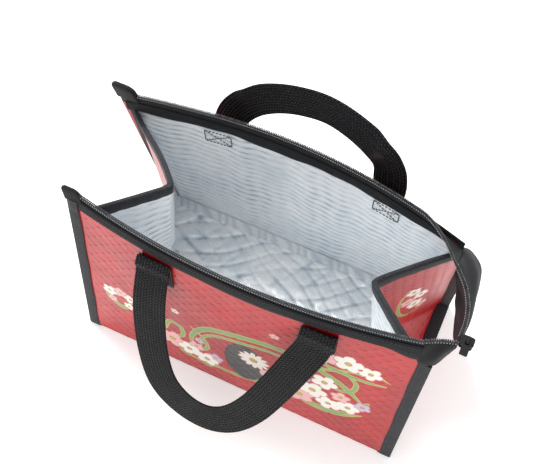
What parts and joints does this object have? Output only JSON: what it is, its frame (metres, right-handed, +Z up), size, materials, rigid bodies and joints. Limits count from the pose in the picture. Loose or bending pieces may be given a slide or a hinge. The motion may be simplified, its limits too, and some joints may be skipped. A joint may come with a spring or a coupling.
{
  "type": "insulated cooler bag",
  "caption": "Insulated cooler bag with folded side gussets, a zipped top, two webbing handles and a quilted foil lining, standing open.",
  "frame": {"origin": "centre of the flat face the bag stands on", "axes": "+Z up, -Y the front wall with the hanging handle, +X along the width towards the zipper tail"},
  "size_m": [0.3478, 0.2395, 0.2752],
  "materials": {
    "printed_laminate": "laminated quilted non-woven, printed, satin sheen",
    "foam": "closed-cell PE foam",
    "foil_liner": "aluminised film, crinkled and quilted",
    "binding_tape": "folded non-woven tape",
    "facing_cloth": "non-woven strip",
    "zipper_tape": "woven polyester tape",
    "zipper_coil": "nylon coil",
    "webbing": "30 mm woven polypropylene webbing",
    "slider_metal": "black enamel, worn to metal on the edges"
  },
  "bodies": {
    "base": {"bottom_skin": "printed_laminate", "bottom_foam": "foam", "bottom_liner": "foil_liner", "left_bottom_binding": "binding_tape", "left_gusset_binding": "binding_tape", "left_gusset_skin": "printed_laminate", "left_gusset_foam": "foam", "left_gusset_liner": "foil_liner", "right_bottom_binding": "binding_tape", "right_gusset_binding": "binding_tape", "right_gusset_skin": "printed_laminate", "right_gusset_foam": "foam", "right_gusset_liner": "foil_liner"},
    "front_wall": {"front_skin": "printed_laminate", "front_foam": "foam", "front_liner": "foil_liner", "front_facing": "facing_cloth", "front_inner_band": "facing_cloth", "front_zipper_tape": "zipper_tape", "front_zipper_coil": "zipper_coil", "front_tail_tape": "zipper_tape", "front_tail_coil": "zipper_coil", "front_handle_tabs": "webbing", "front_left_end_cap": "facing_cloth", "front_left_corner_binding": "binding_tape", "front_right_corner_binding": "binding_tape"},
    "back_wall": {"back_skin": "printed_laminate", "back_foam": "foam", "back_liner": "foil_liner", "back_facing": "facing_cloth", "back_inner_band": "facing_cloth", "back_zipper_tape": "zipper_tape", "back_zipper_coil": "zipper_coil", "back_tail_tape": "zipper_tape", "back_tail_coil": "zipper_coil", "back_handle_tabs": "webbing", "back_left_end_cap": "facing_cloth", "back_left_corner_binding": "binding_tape", "back_right_corner_binding": "binding_tape"},
    "front_handle": {"front_handle_loop": "webbing"},
    "back_handle": {"back_handle_loop": "webbing"},
    "zip_slider": {"slider_body": "slider_metal"},
    "zip_pull": {"pull_tab": "slider_metal"}
  },
  "joints": [
    {"name": "mouth_close", "type": "hinge", "parent": "base", "child": "front_wall", "pos_m": [0, -0.081, 0.004], "axis": [-1, 0, 0], "range_deg": [0, 11.3], "deforming": ["left_gusset_skin", "left_gusset_foam", "left_gusset_liner", "left_gusset_binding", "right_gusset_skin", "right_gusset_foam", "right_gusset_liner", "right_gusset_binding", "front_tail_tape", "front_tail_coil"]},
    {"name": "back_close", "type": "hinge", "parent": "base", "child": "back_wall", "pos_m": [0, 0.081, 0.004], "axis": [1, 0, 0], "range_deg": [0, 12.7], "deforming": ["back_tail_tape", "back_tail_coil"]},
    {"name": "zip_travel", "type": "slide", "parent": "front_wall", "child": "zip_slider", "axis": [-0.9997, -0.025, 0], "range_m": [0, 0.312]},
    {"name": "pull_flip", "type": "hinge", "parent": "zip_slider", "child": "zip_pull", "pos_m": [0.1775, -0.033, 0.2193], "axis": [1, 0, 0], "range_deg": [-150, 0]},
    {"name": "front_handle_swing", "type": "hinge", "parent": "front_wall", "child": "front_handle", "pos_m": [0, -0.06575, 0.187], "axis": [1, 0, 0], "range_deg": [-148, 18]},
    {"name": "back_handle_swing", "type": "hinge", "parent": "back_wall", "child": "back_handle", "pos_m": [0, 0.07689, 0.187], "axis": [0.9992, -0.0401, 0], "range_deg": [-153, 12]}
  ],
  "couplings": [
    {"joint": "back_close", "follows": "mouth_close", "ratio": 1.1239},
    {"joint": "zip_travel", "follows": "mouth_close", "m_per_rad": 1.5794}
  ]
}
